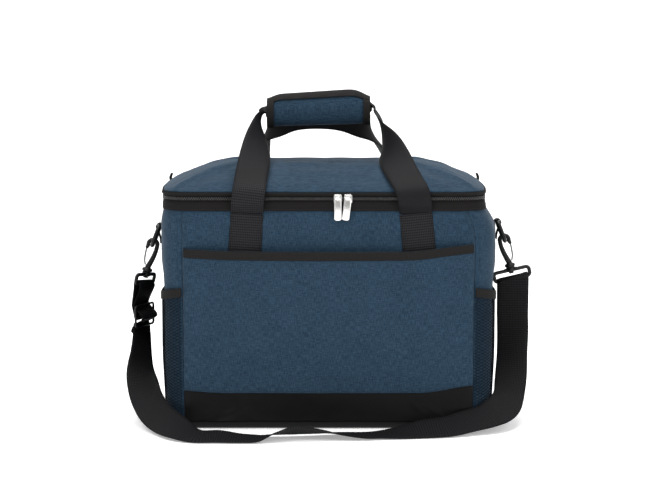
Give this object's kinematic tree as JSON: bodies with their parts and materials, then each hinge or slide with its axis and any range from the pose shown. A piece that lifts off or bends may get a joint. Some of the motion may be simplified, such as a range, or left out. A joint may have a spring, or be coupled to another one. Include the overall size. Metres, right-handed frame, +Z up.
{
  "type": "insulated cooler bag",
  "caption": "Soft box-shaped cooler bag with foam walls and foil lining, a zipped domed lid, webbing carry handles with a padded grip, front and net side pockets and a clip-on shoulder strap.",
  "frame": {"origin": "on the floor under the middle of the base", "axes": "+Z up, -Y towards the front pocket, +X to the right seen from the front"},
  "size_m": [0.488, 0.3337, 0.3912],
  "materials": {
    "blue_cloth": "heathered woven polyester",
    "black_cloth": "smooth black coated cloth, soft sheen",
    "binding": "matt charcoal binding tape",
    "webbing": "black woven webbing",
    "net": "dark blue open net",
    "foil": "crinkled silver film",
    "foam": "white closed-cell foam sheet",
    "plastic": "black moulded plastic",
    "nickel": "bright nickel plate",
    "wire": "drawn steel wire"
  },
  "bodies": {
    "bag": {"outer_front_panel": "blue_cloth", "outer_right_panel": "blue_cloth", "outer_back_panel": "blue_cloth", "outer_left_panel": "blue_cloth", "outer_base_panel": "black_cloth", "foam_front": "foam", "foam_right": "foam", "foam_back": "foam", "foam_left": "foam", "foam_base": "foam", "inner_liner": "foil", "zip_tape_body": "binding", "zip_teeth_body": "plastic", "lid_hinge_strip": "binding", "zip_end_tab_left": "binding", "zip_end_tab_right": "binding", "front_pocket_panel": "blue_cloth", "front_pocket_binding": "binding", "front_lower_band": "black_cloth", "net_pocket_left": "net", "net_pocket_right": "net", "net_binding_left": "binding", "net_binding_right": "binding", "webbing_front_left": "webbing", "webbing_front_right": "webbing", "webbing_back_left": "webbing", "webbing_back_right": "webbing", "ring_tab_left": "webbing", "ring_tab_right": "webbing", "shoulder_strap": "webbing", "strap_adjuster": "plastic"},
    "lid": {"lid_outer_panel": "blue_cloth", "lid_foam": "foam", "lid_liner": "foil", "zip_tape_lid": "binding", "zip_teeth_lid": "plastic"},
    "front_handle": {"front_handle_webbing": "webbing", "grip_wrap_pad": "blue_cloth", "grip_wrap_binding": "binding"},
    "back_handle": {"back_handle_webbing": "webbing"},
    "slider_left": {"zip_slider_left": "nickel"},
    "puller_left": {"zip_puller_left": "nickel"},
    "clip_left": {"d_ring_left": "plastic", "strap_ring_left": "plastic"},
    "hook_left": {"hook_body_left": "plastic", "hook_pin_left": "plastic"},
    "gate_left": {"hook_gate_left": "wire"},
    "slider_right": {"zip_slider_right": "nickel"},
    "puller_right": {"zip_puller_right": "nickel"},
    "clip_right": {"d_ring_right": "plastic", "strap_ring_right": "plastic"},
    "hook_right": {"hook_body_right": "plastic", "hook_pin_right": "plastic"},
    "gate_right": {"hook_gate_right": "wire"}
  },
  "joints": [
    {"name": "lid_hinge", "type": "hinge", "parent": "bag", "child": "lid", "pos_m": [0, 0.1215, 0.262], "axis": [-1, 0, 0], "range_deg": [0, 110], "deforming": ["lid_hinge_strip"]},
    {"name": "front_handle_swing", "type": "hinge", "parent": "bag", "child": "front_handle", "pos_m": [0, -0.1325, 0.2525], "axis": [1, 0, 0], "range_deg": [0, 198], "deforming": ["front_handle_webbing"]},
    {"name": "back_handle_swing", "type": "hinge", "parent": "bag", "child": "back_handle", "pos_m": [0, 0.1325, 0.2525], "axis": [-1, 0, 0], "range_deg": [0, 198], "deforming": ["back_handle_webbing"]},
    {"name": "zip_slider_left_slide", "type": "slide", "parent": "bag", "child": "slider_left", "axis": [-1, 0, 0], "range_m": [0, 0.158]},
    {"name": "zip_puller_left_lift", "type": "hinge", "parent": "slider_left", "child": "puller_left", "pos_m": [0.0108, -0.1238, 0.2705], "axis": [-1, 0, 0], "range_deg": [0, 120]},
    {"name": "zip_slider_right_slide", "type": "slide", "parent": "bag", "child": "slider_right", "axis": [1, 0, 0], "range_m": [0, 0.124]},
    {"name": "zip_puller_right_lift", "type": "hinge", "parent": "slider_right", "child": "puller_right", "pos_m": [0.0226, -0.1238, 0.2705], "axis": [-1, 0, 0], "range_deg": [0, 120]},
    {"name": "clip_swing_right", "type": "hinge", "parent": "bag", "child": "clip_right", "pos_m": [0.2043, 0, 0.23], "axis": [0, -1, 0], "range_deg": [0, 35], "deforming": ["shoulder_strap"]},
    {"name": "hook_swivel_right", "type": "hinge", "parent": "clip_right", "child": "hook_right", "pos_m": [0.21272, 0, 0.20806], "axis": [-0.225, 0, 0.9744], "range_deg": [-20, 20]},
    {"name": "hook_gate_right_open", "type": "hinge", "parent": "hook_right", "child": "gate_right", "pos_m": [0.22253, 0, 0.18426], "axis": [0, -1, 0], "range_deg": [0, 18], "stiffness_Nm_per_rad": 0.02, "springref_deg": -11.46},
    {"name": "clip_swing_left", "type": "hinge", "parent": "bag", "child": "clip_left", "pos_m": [-0.2043, 0, 0.2245], "axis": [0, 1, 0], "range_deg": [0, 35], "deforming": ["shoulder_strap"]},
    {"name": "hook_swivel_left", "type": "hinge", "parent": "clip_left", "child": "hook_left", "pos_m": [-0.21272, 0, 0.20256], "axis": [0.225, 0, 0.9744], "range_deg": [-20, 20]},
    {"name": "hook_gate_left_open", "type": "hinge", "parent": "hook_left", "child": "gate_left", "pos_m": [-0.22253, 0, 0.17876], "axis": [0, 1, 0], "range_deg": [0, 18], "stiffness_Nm_per_rad": 0.02, "springref_deg": -11.46}
  ],
  "couplings": [
    {"joint": "front_handle_swing", "follows": "lid_hinge", "ratio": 1.8},
    {"joint": "back_handle_swing", "follows": "lid_hinge", "ratio": 1.8}
  ]
}
